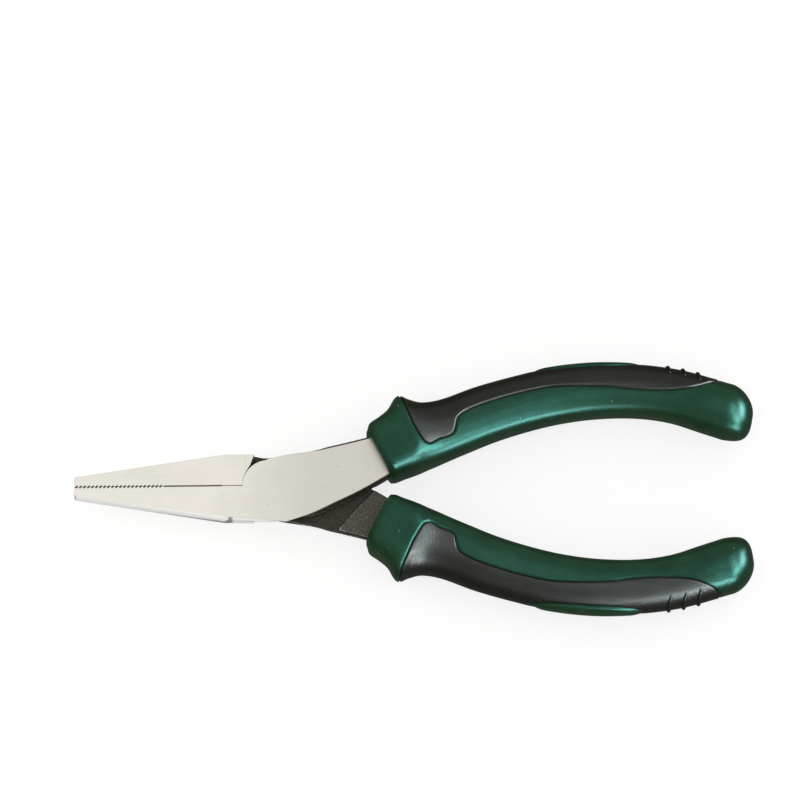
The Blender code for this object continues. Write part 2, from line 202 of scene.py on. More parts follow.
# Handle stations: outer edge x, y, inner edge x, y, half thickness, squareness outside and inside
HANDLE_STATIONS = (
    (23.2, 13.4, 29.3, 1.9, 7.9, 3.2, 3.0),
    (23.8, 15.1, 30.3, 2.1, 9.2, 3.2, 3.0),
    (25.9, 16.6, 32.0, 2.8, 9.4, 3.2, 3.0),
    (28.0, 18.5, 34.0, 3.5, 9.4, 3.0, 3.0),
    (29.5, 21.1, 36.1, 4.3, 9.4, 2.8, 3.0),
    (30.7, 22.0, 37.7, 5.0, 8.9, 2.6, 3.0),
    (33.1, 21.1, 39.9, 5.9, 8.1, 2.5, 3.0),
    (36.3, 20.5, 42.6, 7.1, 7.5, 2.4, 3.0),
    (41.1, 21.4, 46.8, 8.9, 7.2, 2.3, 3.0),
    (48.6, 24.2, 53.6, 11.7, 7.0, 2.3, 3.0),
    (57.1, 26.7, 61.0, 14.1, 6.8, 2.2, 3.0),
    (66.5, 28.9, 68.8, 16.0, 6.6, 2.2, 3.0),
    (77.0, 30.0, 77.4, 17.2, 6.6, 2.2, 3.0),
    (88.0, 29.7, 86.6, 17.4, 6.7, 2.2, 3.0),
    (97.4, 28.4, 94.6, 16.3, 7.0, 2.2, 2.8),
    (105.0, 26.3, 102.0, 13.9, 7.5, 2.3, 2.6),
    (109.0, 25.1, 107.1, 12.2, 7.6, 2.4, 2.5),
)
LAST_STATION = len(HANDLE_STATIONS) - 1

# Edge between rubber and hard plastic, from the guard's groove round to the bulb
GRIP_EDGE = (
    (29.4, 26.0), (30.6, 22.6), (31.9, 18.5), (36.8, 9.8), (40.5, 10.6), (43.7, 12.1),
    (44.8, 15.9), (48.2, 18.2), (55.0, 20.6), (62.2, 22.5), (68.0, 23.4), (78.3, 23.5),
    (86.0, 22.7), (92.5, 22.4), (99.0, 22.9), (103.5, 24.3), (107.5, 26.6), (111.0, 31.0),
)

# How finely that edge and the rubber are worked out, and how far off the edge is looked for
GRIP_EDGE_STEPS = 24
GRIP_EDGE_POINTS = 420
GRIP_COLUMNS = 97
EDGE_SEARCH_SAMPLES = 4000
EDGE_SEARCH_PAST_LAST = 0.5
EDGE_SEARCH_SHARE = 1.3
EDGE_SEARCH_PENALTY = 10
EDGE_SLIDE = 0.3

# How the core dips under the rubber's edge, as shares of the seam's width and depth
SINK_START = 0.45
SINK_WIDTH = 0.9
SINK_DEPTH = 1.4

# Steel's masks: each goes from none to full between its two values, in millimetres
FACE_Z = (3.55, 3.7)
NOSE_GROUND_X = (-5.2, -5.5)
OUTER_SIDE_X = (3.0, 1.0)
OUTER_SIDE_Y = (7.1, 7.3)
OUTER_SIDE_Z = (0.25, 0.35)
# The jaw's sides and the outer side by the joint are painted near white as a reflection of the floor
JAW_SIDE_X = (-8.0, -9.0)
JAW_SIDE_Y = (TIP_HALF_WIDTH - 0.14, TIP_HALF_WIDTH - 0.06)
UNDER_FACE_Z = (HEAD_HALF_THICKNESS - 0.08, HEAD_HALF_THICKNESS - 0.15)
# Painted shade: the ground steel grows darker towards the handles between these X
PAINTED_SHADE_X = (-14.0, 14.0)
# Worn corner at the step's edge: bare steel through the oxide, also standing for a painted highlight
WORN_GLINT_Z = 1.12
WORN_GLINT_REACH = (0.2, 0.1)

# Finishes: colour of the bare sides, painted near white as a reflection of the floor,
# depth of each relief in millimetres, and the sheen's strength and tint
BARE_SIDE_PAINTED_REFLECTION = (0.96, 0.96, 0.95)
STEEL_RELIEF = 0.012
STEEL_SHEEN = 0.2
PLASTIC_RELIEF = 0.05
RUBBER_RELIEF = 0.07
HANDLE_SHEEN = 0.22
SHEEN_TINT = (0.3, 1.0, 0.92, 1.0)

# Stage: lengths in metres, but the sensor in millimetres and the horizon's height as a share of straight up
FLOOR_REACH = 6.0
FLOOR_GREYS = ((0.29, 0.29, 0.29), (0.31, 0.31, 0.31))
FLOOR_ROUGHNESS = 0.9
WHITE = (1.0, 1.0, 1.0, 1.0)
SKY_COLOUR = (1.0, 0.99, 0.965)
LOW_COLOUR = (0.1, 0.1, 0.1)
HORIZON_HEIGHT = 0.12
SOFTBOX_COLOUR = (0.84, 0.96, 1.0)
SOFTBOX_TARGET = (0.04, 0.0, 0.01)
SOFTBOXES = (
    ("key", (0.56, -0.33, 0.5), (0.5, 0.4)),
    ("high", (0.4, 0.02, 0.76), (0.25, 0.25)),
    ("end", (0.7, 0.1, 0.24), (0.3, 0.3)),
    ("low", (0.34, -0.72, 0.17), (0.35, 0.2)),
)
AIM_X = -0.0033
AIM_Y = 0.0215
SEEN_WIDTH = 0.18907
SEEN_LEAN = math.radians(12.0)
LEAN_PASSES = 20
SENSOR_WIDTH = 36.0
CLIP_START = 0.01
CLIP_END = 20.0

# Sockets of the Mix node that blend two colours
MIX_FACTOR = 0
MIX_FIRST = 6
MIX_SECOND = 7
MIX_COLOUR = 2


class PliersHeadSettings(bpy.types.PropertyGroup):
    """Sizes of the forged levers."""

    outer_edge: FloatProperty(
        name="Outer edge",
        description="Radius ground on the outer edges, in millimetres",
        default=0.2,
        min=0.01,
    )
    fine_edge: FloatProperty(
        name="Fine edge",
        description="Radius left on the teeth and the joint, in millimetres",
        default=0.05,
        min=0.01,
    )
    top_ridge: FloatProperty(
        name="Top ridge",
        description="How far the forging's parting ridge stands out of an arm's outer side",
        default=0.85,
    )
    bottom_ridge: FloatProperty(
        name="Bottom ridge",
        description="How far the parting ridge stands out of an arm's inner side",
        default=0.45,
    )
    step_chamfer: FloatProperty(
        name="Step chamfer", description="Worn corner of the step at the back of the joint", default=0.35
    )


class PliersHandleSettings(bpy.types.PropertyGroup):
    """Sizes of the moulded handles."""

    rows: IntProperty(name="Rows", description="Mesh rows along a handle", default=300, min=40)
    around: IntProperty(name="Around", description="Mesh columns round a handle", default=176, min=24)
    grip_proud: FloatProperty(
        name="Grip proud", description="How far the rubber stands above the hard plastic", default=0.1
    )
    seam_depth: FloatProperty(
        name="Seam depth", description="Depth of the groove at the rubber's edge", default=0.5
    )
    seam_width: FloatProperty(
        name="Seam width", description="How wide the rubber's edge rolls down", default=0.55
    )
    grip_depth: FloatProperty(name="Grip depth", description="Thickness of the rubber", default=1.3)
    pad_proud: FloatProperty(
        name="Pad proud", description="Height of the hard pad above the handle", default=0.4
    )
    rib_radius: FloatProperty(name="Rib radius", description="Half width of a grip rib", default=0.5)


class PliersFinishSettings(bpy.types.PropertyGroup):
    """Colours of the finishes."""

    steel: FloatVectorProperty(
        name="Ground steel",
        description="Colour of the ground faces",
        subtype="COLOR",
        default=(0.87, 0.845, 0.775),
    )
    oxide: FloatVectorProperty(
        name="Black oxide",
        description="Colour of the unground forging",
        subtype="COLOR",
        default=(0.042, 0.038, 0.030),
    )
    green: FloatVectorProperty(
        name="Green plastic",
        description="Colour of the hard core",
        subtype="COLOR",
        default=(0.011, 0.034, 0.012),
    )
    rubber: FloatVectorProperty(
        name="Black rubber",
        description="Colour of the soft grip",
        subtype="COLOR",
        default=(0.007, 0.007, 0.003),
    )
    dust: FloatVectorProperty(
        name="Dust", description="Colour of dust and scuffs", subtype="COLOR", default=(0.42, 0.46, 0.42)
    )


class PliersStageSettings(bpy.types.PropertyGroup):
    """The floor, the lights and the camera."""

    lens: FloatProperty(name="Lens", description="Focal length", default=500.0, unit="CAMERA")
    sky: FloatProperty(name="Sky", description="Strength of the white surroundings", default=0.95)
    floor_glow: FloatProperty(name="Floor glow", description="Light from under the table", default=0.75)
    key_power: FloatProperty(
        name="Key power",
        description="Softbox off the corner of the handle ends",
        default=26.0,
        unit="POWER",
    )
    high_power: FloatProperty(
        name="High power", description="Softbox high over the handle ends", default=8.0, unit="POWER"
    )
    end_power: FloatProperty(
        name="End power", description="Softbox straight behind the handle ends", default=17.0, unit="POWER"
    )
    low_power: FloatProperty(
        name="Low power",
        description="Softbox close to the floor beside the handles",
        default=14.0,
        unit="POWER",
    )


def catmull_rom(rows, at):
    """Smooth curve through rows of numbers, read at positions counted in rows.

    Between rows b and c, with neighbours a and d, it is half of 2b + (c - a)u + (2a - 5b + 4c - d)u^2
    + (3b - a - 3c + d)u^3, where u runs from 0 to 1.
    """
    rows = np.asarray(rows, float)
    padded = np.vstack([2 * rows[0] - rows[1], rows, 2 * rows[-1] - rows[-2]])
    at = np.asarray(at, float)
    span = np.clip(np.floor(at).astype(int), 0, len(rows) - 2)
    u = (at - span)[..., None]
    a, b, c, d = padded[span], padded[span + 1], padded[span + 2], padded[span + 3]
    return 0.5 * (2 * b + (c - a) * u + (2 * a - 5 * b + 4 * c - d) * u**2 + (3 * b - a - 3 * c + d) * u**3)


def smooth_line(rows, steps):
    """The smooth curve through rows of numbers, in this many even steps from each row to the next."""
    return catmull_rom(rows, np.linspace(0, len(rows) - 1, (len(rows) - 1) * steps + 1))


def signed_power(values, power):
    """Each value's size raised to a power, with the value's own sign."""
    return np.sign(values) * np.abs(values) ** power


def unit_rows(vectors):
    """Each row divided by its own length."""
    return vectors / np.linalg.norm(vectors, axis=1)[:, None]


def length_along(points):
    """Length of a line of points from its start to each of them: the running sum of its steps."""
    steps = np.linalg.norm(np.diff(points, axis=0), axis=1)
    return np.concatenate([[0.0], np.cumsum(steps)])


def grid_faces(rows, columns, wrap):
    """Four corners of each cell of a grid, with the last column joined to the first if it wraps."""
    row = np.arange(rows - 1)[:, None] * columns
    column = np.arange(columns if wrap else columns - 1)[None, :]
    right = (column + 1) % columns
    corners = (row + column, row + right, row + columns + right, row + columns + column)
    return np.stack(np.broadcast_arrays(*corners), axis=-1).reshape(-1, 4)


def outward(points, faces):
    """The faces, turned round if the closed surface they make holds a negative volume."""
    a, b, c, d = (points[faces[:, i]] for i in range(4))
    volume = np.sum(np.cross(a, b) * c) + np.sum(np.cross(a, c) * d)
    return faces if volume > 0 else faces[:, ::-1]


def in_frame(points, turned):
    """Millimetres about the rivet's axis, as metres in the frame; the rear half is turned about X."""
    side = np.array([1.0, -1.0, -1.0]) if turned else np.ones(3)
    return points * side * MM + np.array(PIVOT)


def mesh_from(name, points, faces, turned):
    """A mesh of four-cornered faces, with doubled points merged so that seams and poles close."""
    placed = in_frame(points, turned)
    mesh = bpy.data.meshes.new(name)
    mesh.vertices.add(len(placed))
    mesh.vertices.foreach_set("co", placed.astype(np.float32).ravel())
    mesh.loops.add(faces.size)
    mesh.loops.foreach_set("vertex_index", faces.astype(np.int32).ravel())
    mesh.polygons.add(len(faces))
    mesh.polygons.foreach_set("loop_start", np.arange(0, faces.size, 4, dtype=np.int32))
    mesh.update(calc_edges=True)
    merged = bmesh.new()
    merged.from_mesh(mesh)
    bmesh.ops.remove_doubles(merged, verts=merged.verts, dist=MERGE_DISTANCE)
    merged.to_mesh(mesh)
    merged.free()
    mesh.shade_smooth()
    return mesh


def add_object(name, data):
    """Links a new object for a mesh, a light or a camera, unturned at the origin."""
    piece = bpy.data.objects.new(name, data)
    bpy.context.scene.collection.objects.link(piece)
    return piece


def dress(piece, finish, body, slot, *nodes):
    """Gives a piece its finish, its body and the nodes it stands for; the slot argument is ignored."""
    piece.data.materials.clear()
    piece.data.materials.append(finish)
    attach(piece, body)
    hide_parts(*nodes)
    return piece


class Link:
    """A shader value in a Python expression: arithmetic on it adds Math nodes to its tree."""

    def __init__(self, nodes, socket):
        self.nodes = nodes
        self.socket = socket

    def math(self, operation, *operands):
        """A Math node on one or two values, each a Link or a number."""
        values = dict(enumerate(operands))
        return self.nodes.node("ShaderNodeMath", {"operation": operation}, values)["Value"]

    def __add__(self, other):
        return self.math("ADD", self, other)

    def __sub__(self, other):
        return self.math("SUBTRACT", self, other)

    def __rsub__(self, other):
        return self.math("SUBTRACT", other, self)

    def __mul__(self, other):
        return self.math("MULTIPLY", self, other)

    def __lt__(self, other):
        return self.math("LESS_THAN", self, other)

    def __gt__(self, other):
        return self.math("GREATER_THAN", self, other)

    def __abs__(self):
        return self.math("ABSOLUTE", self)

    __radd__ = __add__
    __rmul__ = __mul__

    def most(self, other):
        """The larger of two values."""
        return self.math("MAXIMUM", self, other)

    def ramp(self, none, full):
        """Goes smoothly from 0 to 1 as the value goes from one limit to the other, up or down."""
        values = {"Value": self, "From Min": none, "From Max": full}
        return self.nodes.node("ShaderNodeMapRange", {"interpolation_type": "SMOOTHSTEP"}, values)["Result"]


class Outputs:
    """A node's outputs by name or number, each one as a Link."""

    def __init__(self, nodes, made):
        self.nodes = nodes
        self.outputs = made.outputs

    def __getitem__(self, name):
        return Link(self.nodes, self.outputs[name])


class Nodes:
    """A node tree under construction: every node in it comes from one method."""

    def __init__(self, tree):
        self.tree = tree

    def node(self, kind, settings=None, values=None):
        """Adds a node: its settings first, then a number, a tuple or a Link for each named socket."""
        made = self.tree.nodes.new(kind)
        for name, setting in (settings or {}).items():
            setattr(made, name, setting)
        for name, value in (values or {}).items():
            self.feed(made.inputs[name], value)
        return Outputs(self, made)

    def feed(self, socket, value):
        """Links a socket to a Link, or sets it to a number or a tuple."""
        if isinstance(value, Link):
            self.tree.links.new(value.socket, socket)
        else:
            socket.default_value = value

    def vector(self, operation, first, second):
        """A Vector Math node on two vectors, each a Link or a tuple."""
        return self.node("ShaderNodeVectorMath", {"operation": operation}, {0: first, 1: second})["Vector"]

    def mix(self, share, first, second):
        """A share of the second colour in the first; a colour is a Link or a tuple of three numbers."""
        first, second = ((*each, 1.0) if isinstance(each, tuple) else each for each in (first, second))
        values = {MIX_FACTOR: share, MIX_FIRST: first, MIX_SECOND: second}
        return self.node("ShaderNodeMix", {"data_type": "RGBA"}, values)[MIX_COLOUR]


class Shader(Nodes):
    """A material under construction, with Object coordinates in millimetres about the rivet's axis."""

    def __init__(self, name):
        self.material = bpy.data.materials.new(name)
        self.material.use_nodes = True
        super().__init__(self.material.node_tree)
        self.surface = self.tree.nodes["Principled BSDF"]
        place = self.node("ShaderNodeTexCoord")["Object"]
        centred = self.vector("SUBTRACT", place, tuple(PIVOT))
        self.place = self.vector("MULTIPLY", centred, (1 / MM,) * 3)
        parts = self.node("ShaderNodeSeparateXYZ", {}, {"Vector": self.place})
        self.x, self.y, self.z = parts["X"], parts["Y"], parts["Z"]

    def noise(self, frequency, detail=2.0, roughness=0.5, seed=0.0):
        """Fractal noise near 0.5 with this many features to the millimetre along each axis."""
        scaled = self.vector("MULTIPLY", self.place, frequency)
        moved = self.vector("ADD", scaled, (seed, seed * 0.7, seed * 1.3))
        values = {"Vector": moved, "Scale": 1.0, "Detail": detail, "Roughness": roughness}
        return self.node("ShaderNodeTexNoise", {}, values)["Fac"]

    def specks(self, frequency, radius):
        """1 inside small round spots, one to each random cell, whose sizes differ from cell to cell."""
        scaled = self.vector("MULTIPLY", self.place, (frequency,) * 3)
        cells = self.node("ShaderNodeTexVoronoi", {}, {"Vector": scaled, "Scale": 1.0})
        size = self.node("ShaderNodeSeparateColor", {}, {"Color": cells["Color"]})["Red"]
        return cells["Distance"] < size * size * size * (radius * frequency)

    def bump(self, height, depth):
        """Normal of a relief whose height of 1 stands this many millimetres high."""
        values = {"Height": height, "Distance": depth * MM, "Strength": 1.0}
        return self.node("ShaderNodeBump", {}, values)["Normal"]

    def finish(self, **sockets):
        """Feeds the surface's sockets, named with _ for each space, and gives back the material."""
        for name, value in sockets.items():
            self.feed(self.surface.inputs[name.replace("_", " ")], value)
        return self.material


def shades(colour, *factors):
    """The colour made darker or lighter by each factor."""
    return tuple(tuple(min(1.0, channel * factor) for channel in colour) for factor in factors)


def lever_masks(steel):
    """How far a point of a lever is ground, on a bare side and at the step's worn corner, each from 0 to 1.

    The nose is ground all round; from the joint on, only the two flat faces are. A jaw's bare side is where
    the distance from the middle, less what the taper adds since the tip, passes the tip's half width. Bare
    sides are painted near white as a reflection of the floor, and the worn corner is bare steel that also
    stands for a painted highlight on the step's edge.
    """
    across = abs(steel.y)
    through = abs(steel.z)
    outer_side = across.ramp(*OUTER_SIDE_Y) * steel.x.ramp(*OUTER_SIDE_X) * through.ramp(*OUTER_SIDE_Z)
    ground = through.ramp(*FACE_Z).most(steel.x.ramp(*NOSE_GROUND_X).most(outer_side))
    beyond = across - (steel.x - NOSE_TIP_X) * JAW_SLOPE
    jaw_side = beyond.ramp(*JAW_SIDE_Y) * steel.x.ramp(*JAW_SIDE_X)
    joint_side = outer_side * through.ramp(*UNDER_FACE_Z) * steel.x.ramp(*reversed(JAW_SIDE_X))
    corner = abs(through - WORN_GLINT_Z).ramp(*WORN_GLINT_REACH)
    return ground, jaw_side.most(joint_side), corner


def brushed_steel(steel, colour):
    """Colour, roughness, relief and pits of steel ground along X, with painted shade darker towards the
    handles.
    """
    lines = steel.noise((0.05, 7.0, 7.0), detail=3.0, roughness=0.6)
    fine = steel.noise((0.35, 16.0, 16.0), detail=2.0, roughness=0.6, seed=7.0)
    cloud = steel.noise((0.12, 0.2, 0.2), detail=2.0, roughness=0.5, seed=3.0)
    grain = steel.noise((4.5, 4.5, 4.5), detail=2.0, roughness=0.6, seed=11.0)
    pits = steel.specks(frequency=0.55, radius=0.2)
    shade = lines * 0.16 + fine * 0.12 + cloud * 0.14 + grain * 0.12
    dull, clean, pit, painted_shade = shades(colour, 0.86, 1.08, 0.35, 0.74)
    even = steel.mix(shade.ramp(0.12, 0.42), dull, clean)
    # Painted shade: the steel is made darker towards the handles
    shaded_to_handles = steel.mix(steel.x.ramp(*PAINTED_SHADE_X) * 0.85, even, painted_shade)
    return steel.mix(pits * 0.45, shaded_to_handles, pit), lines * 0.14 + 0.24, lines * 0.35 + fine * 0.2, pits


def lever_finish(name, ground_colour, oxide_colour):
    """Brushed steel where ground, a painted reflection in near white on bare sides, and brown-black oxide
    elsewhere.
    """
    steel = Shader(name)
    ground, bare_side_painted_reflection, corner = lever_masks(steel)
    bright, roughness, relief, pits = brushed_steel(steel, ground_colour)
    scale = steel.noise((3.4, 3.4, 3.4), detail=4.0, roughness=0.65, seed=5.0)
    oxide = steel.mix(scale.ramp(0.38, 0.66), *shades(oxide_colour, 0.6, 1.7))
    # Worn corner: bare steel through the oxide, which also stands for a painted highlight on the step's edge
    dark = steel.mix(corner * scale.ramp(0.4, 0.6) * 0.9, oxide, ground_colour)
    height = ground * (relief - pits * 0.8) + (1 - ground) * scale * 1.6
    return steel.finish(
        Base_Color=steel.mix(ground, dark, steel.mix(bare_side_painted_reflection, bright, BARE_SIDE_PAINTED_REFLECTION)),
        Metallic=ground * 0.5 + 0.3 - bare_side_painted_reflection * 0.8,
        Roughness=ground * roughness + (1 - ground) * (scale * 0.25 + 0.3),
        Normal=steel.bump(height, STEEL_RELIEF),
        Specular_IOR_Level=STEEL_SHEEN,
    )


def rivet_finish(name, colour):
    """The levers' brushed steel, without oxide, on the rivet that is ground flush with their faces."""
    steel = Shader(name)
    # The rivet takes the steel's painted shade towards the handles too
    bright, roughness, relief, _ = brushed_steel(steel, colour)
    return steel.finish(
        Base_Color=bright,
        Metallic=0.8,
        Roughness=roughness,
        Normal=steel.bump(relief, STEEL_RELIEF),
        Specular_IOR_Level=STEEL_SHEEN,
    )


def plastic_finish(name, colour, dust_colour):
    """Hard moulded plastic from a spark-eroded mould: an even fine grain with a few white dust specks."""
    plastic = Shader(name)
    grain = plastic.noise((2.4, 2.4, 2.4), detail=3.0, roughness=0.7)
    fine = plastic.noise((8.0, 8.0, 8.0), detail=1.0, roughness=0.5, seed=4.0)
    cloud = plastic.noise((0.12, 0.12, 0.12), detail=2.0, roughness=0.5, seed=9.0)
    tone = grain * 0.45 + cloud * 0.4 + fine * 0.15
    body = plastic.mix(tone.ramp(0.34, 0.66), *shades(colour, 0.7, 1.35))
    dust = plastic.specks(frequency=0.42, radius=0.17)
    relief = grain * 0.6 + fine * 0.4 + dust * 0.6
    return plastic.finish(
        Base_Color=plastic.mix(dust * 0.5, body, dust_colour),
        Roughness=grain * 0.16 + 0.22,
        Normal=plastic.bump(relief, PLASTIC_RELIEF),
        Specular_IOR_Level=HANDLE_SHEEN,
        Specular_Tint=SHEEN_TINT,
    )


def rubber_finish(name, colour, dust_colour):
    """Soft grip rubber: matt, mottled, with dust in its grain and faint scuffs."""
    rubber = Shader(name)
    grain = rubber.noise((2.4, 2.4, 2.4), detail=3.0, roughness=0.65)
    fine = rubber.noise((7.0, 7.0, 7.0), detail=1.0, roughness=0.5, seed=2.0)
    cloud = rubber.noise((0.1, 0.16, 0.16), detail=2.0, roughness=0.5, seed=6.0)
    scuffs = rubber.noise((0.25, 2.0, 2.0), detail=3.0, roughness=0.6, seed=12.0)
    tone = grain * 0.5 + cloud * 0.35 + fine * 0.15
    body = rubber.mix(tone.ramp(0.3, 0.7), *shades(colour, 0.7, 1.4))
    dust = rubber.specks(frequency=0.5, radius=0.15)
    marks = dust * 0.4 + scuffs.ramp(0.66, 0.8) * 0.08
    relief = grain * 0.6 + fine * 0.4 + dust * 0.5
    return rubber.finish(
        Base_Color=rubber.mix(marks, body, dust_colour),
        Roughness=grain * 0.2 + 0.24,
        Normal=rubber.bump(relief, RUBBER_RELIEF),
        Specular_IOR_Level=HANDLE_SHEEN,
    )


def floor_finish(name, glow):
    """A matt pale floor, faintly clouded, lit from under as well."""
    floor = Shader(name)
    cloud = floor.noise((0.01, 0.01, 0.01), detail=2.0, roughness=0.5)
    return floor.finish(
        Base_Color=floor.mix(cloud, *FLOOR_GREYS),
        Roughness=FLOOR_ROUGHNESS,
        Emission_Color=WHITE,
        Emission_Strength=glow,
    )


def studio_world(name, strength):
    """Surroundings that brighten evenly from the horizon to a low height, and are white above it."""
    world = bpy.data.worlds.new(name)
    world.use_nodes = True
    studio = Nodes(world.node_tree)
    direction = studio.node("ShaderNodeTexCoord")["Generated"]
    height = studio.node("ShaderNodeSeparateXYZ", {}, {"Vector": direction})["Z"]
    background = studio.tree.nodes["Background"]
    studio.feed(background.inputs["Color"], studio.mix(height * (1 / HORIZON_HEIGHT), LOW_COLOUR, SKY_COLOUR))
    studio.feed(background.inputs["Strength"], strength)
    return world


def half_thickness(x):
    """Half thickness of the head: level at the joint, then thinner in a straight line to the nose tip."""
    return np.interp(x, [NOSE_TIP_X, NOSE_TAPER_START_X], [TIP_HALF_THICKNESS, HEAD_HALF_THICKNESS])


def circle_arc(radius, start, end, count):
    """Points on a circle about the rivet's axis, in even steps from one angle to the other."""
    angles = np.linspace(start, end, count)
    return np.stack([radius * np.cos(angles), radius * np.sin(angles)], axis=1)


def gripping_edge(shift):
    """The jaw's edge from the tip: V grooves at an even pitch, then the relief, then the land."""
    centre = NOSE_TIP_X + TOOTH_PITCH * (np.arange(TOOTH_COUNT) + TOOTH_FIRST) + shift
    half = TOOTH_GROOVE / 2
    groove = np.array([(-half, -CREST_Y), (0.0, -CREST_Y - TOOTH_DEPTH), (half, -CREST_Y)])
    teeth = (centre[:, None, None] * np.array([1.0, 0.0]) + groove).reshape(-1, 2)
    start = NOSE_TIP_X + TOOTH_PITCH * TOOTH_COUNT + shift + RELIEF_STARTS_AFTER
    after = [
        (start, -CREST_Y),
        (start + RELIEF_SLOPE_RUN, -RELIEF_Y),
        (RELIEF_END_X, -RELIEF_Y),
        (RELIEF_END_X + LAND_SLOPE_RUN, -LAND_Y),
        (NOSE_TAPER_START_X, -LAND_Y),
    ]
    return np.vstack([[(NOSE_TIP_X, -CREST_Y)], teeth, after])


def moved_out(outline, distance):
    """A counterclockwise outline with each corner moved out along its mitre by its own distance."""
    side = unit_rows(np.roll(outline, -1, axis=0) - outline)
    normal = np.stack([side[:, 1], -side[:, 0]], axis=1)
    before = np.roll(normal, 1, axis=0)
    mitre = (normal + before) / (1 + np.sum(normal * before, axis=1))[:, None]
    return outline + mitre * np.asarray(distance)[..., None]


def lever_mesh(name, tooth_shift, sizes, turned):
    """A forging as rings of its outline from the front face to the back.

    Each ring is the outline moved out by a distance: rounded edges at the two faces, and on the arm's sides a
    draft that rises to a parting ridge. Beside the joint the outer side is cut under between the faces, and
    tucked in at the back one. Both faces are split where the nose starts to thin.
    """
    edge = gripping_edge(tooth_shift)
    disc = circle_arc(DISC_RADIUS, math.pi + LAND_Y / DISC_RADIUS, DISC_TOP_ANGLE, DISC_POINTS)
    top = np.vstack([smooth_line(ARM_TOP, ARM_STEPS), smooth_line(TANG_TOP, TANG_STEPS)])
    bottom = np.vstack([smooth_line(TANG_BOTTOM, TANG_STEPS), smooth_line(ARM_BOTTOM, ARM_STEPS)])
    tip = np.array([(NOSE_TIP_X + TIP_CORNER, -TIP_HALF_WIDTH), (NOSE_TIP_X, -TIP_HALF_WIDTH + TIP_CORNER)])
    parts = [edge, disc, top, bottom, np.array(JAW_OUTSIDE), tip]
    counts = [len(part) for part in parts]
    outline = np.vstack(parts)[::-1]
    is_fine = np.repeat([1, 1, 0, 0, 0, 0], counts)[::-1]
    on_top = np.repeat([0, 0, 1, 0, 0, 0], counts)[::-1]
    below = np.repeat([0, 0, 0, 1, 0, 0], counts)[::-1]
    on_outside = np.repeat([0, 0, 0, 1, 1, 0], counts)[::-1]
    x = outline[:, 0]
    ridge_out = on_top * np.interp(x, TOP_RIDGE_X, (0.0, sizes.top_ridge))
    ridge_out += below * np.interp(x, BOTTOM_RIDGE_X, (0.0, sizes.bottom_ridge))
    undercut_x = REAR_UNDERCUT_X if turned else FRONT_UNDERCUT_X
    ridge_out -= on_outside * np.interp(x, undercut_x, (0.0, UNDERCUT, UNDERCUT, 0.0))
    tuck = on_outside * np.interp(x, TUCK_X, (0.0, TUCK, TUCK, 0.0))
    rounding = np.where(is_fine, sizes.fine_edge, sizes.outer_edge)
    thick = half_thickness(x)
    levels = [(thick - depth * rounding, -share * rounding) for depth, share in EDGE_ROUNDING]
    ridge = (HEAD_HALF_THICKNESS + SHANK_BACK_Z) / 2
    for step in (RIDGE_HALF_HEIGHT, -RIDGE_HALF_HEIGHT):
        levels.append((np.full(len(thick), ridge + step), ridge_out))
    for depth, share in reversed(EDGE_ROUNDING):
        levels.append((depth * rounding - thick, -share * rounding - tuck))
    rings = [np.column_stack([moved_out(outline, out), z]) for z, out in levels]
    points = np.vstack(rings)
    count = len(outline)
    walls = outward(points, grid_faces(len(rings), count, True))
    split_edge = count - counts[0]
    split_back = count - 1 - (sum(counts[:4]) + TAPER_CORNER)
    nose = [*range(split_edge, count), *range(split_back + 1)]
    head = list(range(split_back, split_edge + 1))
    last = (len(rings) - 1) * count
    caps = [nose, head, [last + i for i in reversed(nose)], [last + i for i in reversed(head)]]
    mesh = bpy.data.meshes.new(name)
    mesh.from_pydata(in_frame(points, turned).tolist(), [], walls.tolist() + caps)
    mesh.update()
    return mesh


def prism_mesh(name, levels, turned):
    """A solid between rings of (outline, z) that have the same number of corners, from low to high."""
    points = np.vstack([np.column_stack([outline, np.full(len(outline), z)]) for outline, z in levels])
    count = len(levels[0][0])
    walls = outward(points, grid_faces(len(levels), count, True))
    last = (len(levels) - 1) * count
    caps = [list(reversed(range(count))), list(range(last, last + count))]
    mesh = bpy.data.meshes.new(name)
    mesh.from_pydata(in_frame(points, turned).tolist(), [], walls.tolist() + caps)
    mesh.update()
    return mesh


def counterclockwise(outline):
    """The outline, turned round if the area that it encloses comes out negative."""
    x, y = outline[:, 0], outline[:, 1]
    return outline if np.sum(x * np.roll(y, -1) - y * np.roll(x, -1)) > 0 else outline[::-1]


def lap_cutter(name, chamfer, turned):
    """The other lever's half of the joint: a shoulder arc, and a step whose corner is worn."""
    angles = np.linspace(SHOULDER_END_ANGLE, SHOULDER_TOP_ANGLE, SHOULDER_POINTS)
    radius = DISC_RADIUS + np.interp(angles, SHOULDER_OPENS, SHOULDER_GAPS)
    shoulder = np.stack([radius * np.cos(angles), radius * np.sin(angles)], axis=1)
    step = smooth_line(STEP_LINE, STEP_LINE_STEPS)
    plain = np.vstack([SHOULDER_TOP, shoulder, LAP_ABOVE, step, LAP_BELOW])
    worn = plain.copy()
    worn[len(plain) - 1 - len(step):, 0] += chamfer
    deep = HEAD_HALF_THICKNESS + OVERCUT
    plain, worn = counterclockwise(plain), counterclockwise(worn)
    levels = [(worn, -deep), (worn, SHANK_BACK_Z), (plain, SHANK_BACK_Z + chamfer), (plain, LAP_GAP / 2)]
    return prism_mesh(name, levels, turned)


def shank_cutter(name, turned):
    """A block that takes the back off an arm and its tang."""
    box = np.array(
        [
            (SHANK_CUT_X, -CUTTER_REACH_Y),
            (CUTTER_REACH_X, -CUTTER_REACH_Y),
            (CUTTER_REACH_X, CUTTER_REACH_Y),
            (SHANK_CUT_X, CUTTER_REACH_Y),
        ]
    )
    return prism_mesh(name, [(box, -HEAD_HALF_THICKNESS - OVERCUT), (box, SHANK_BACK_Z)], turned)


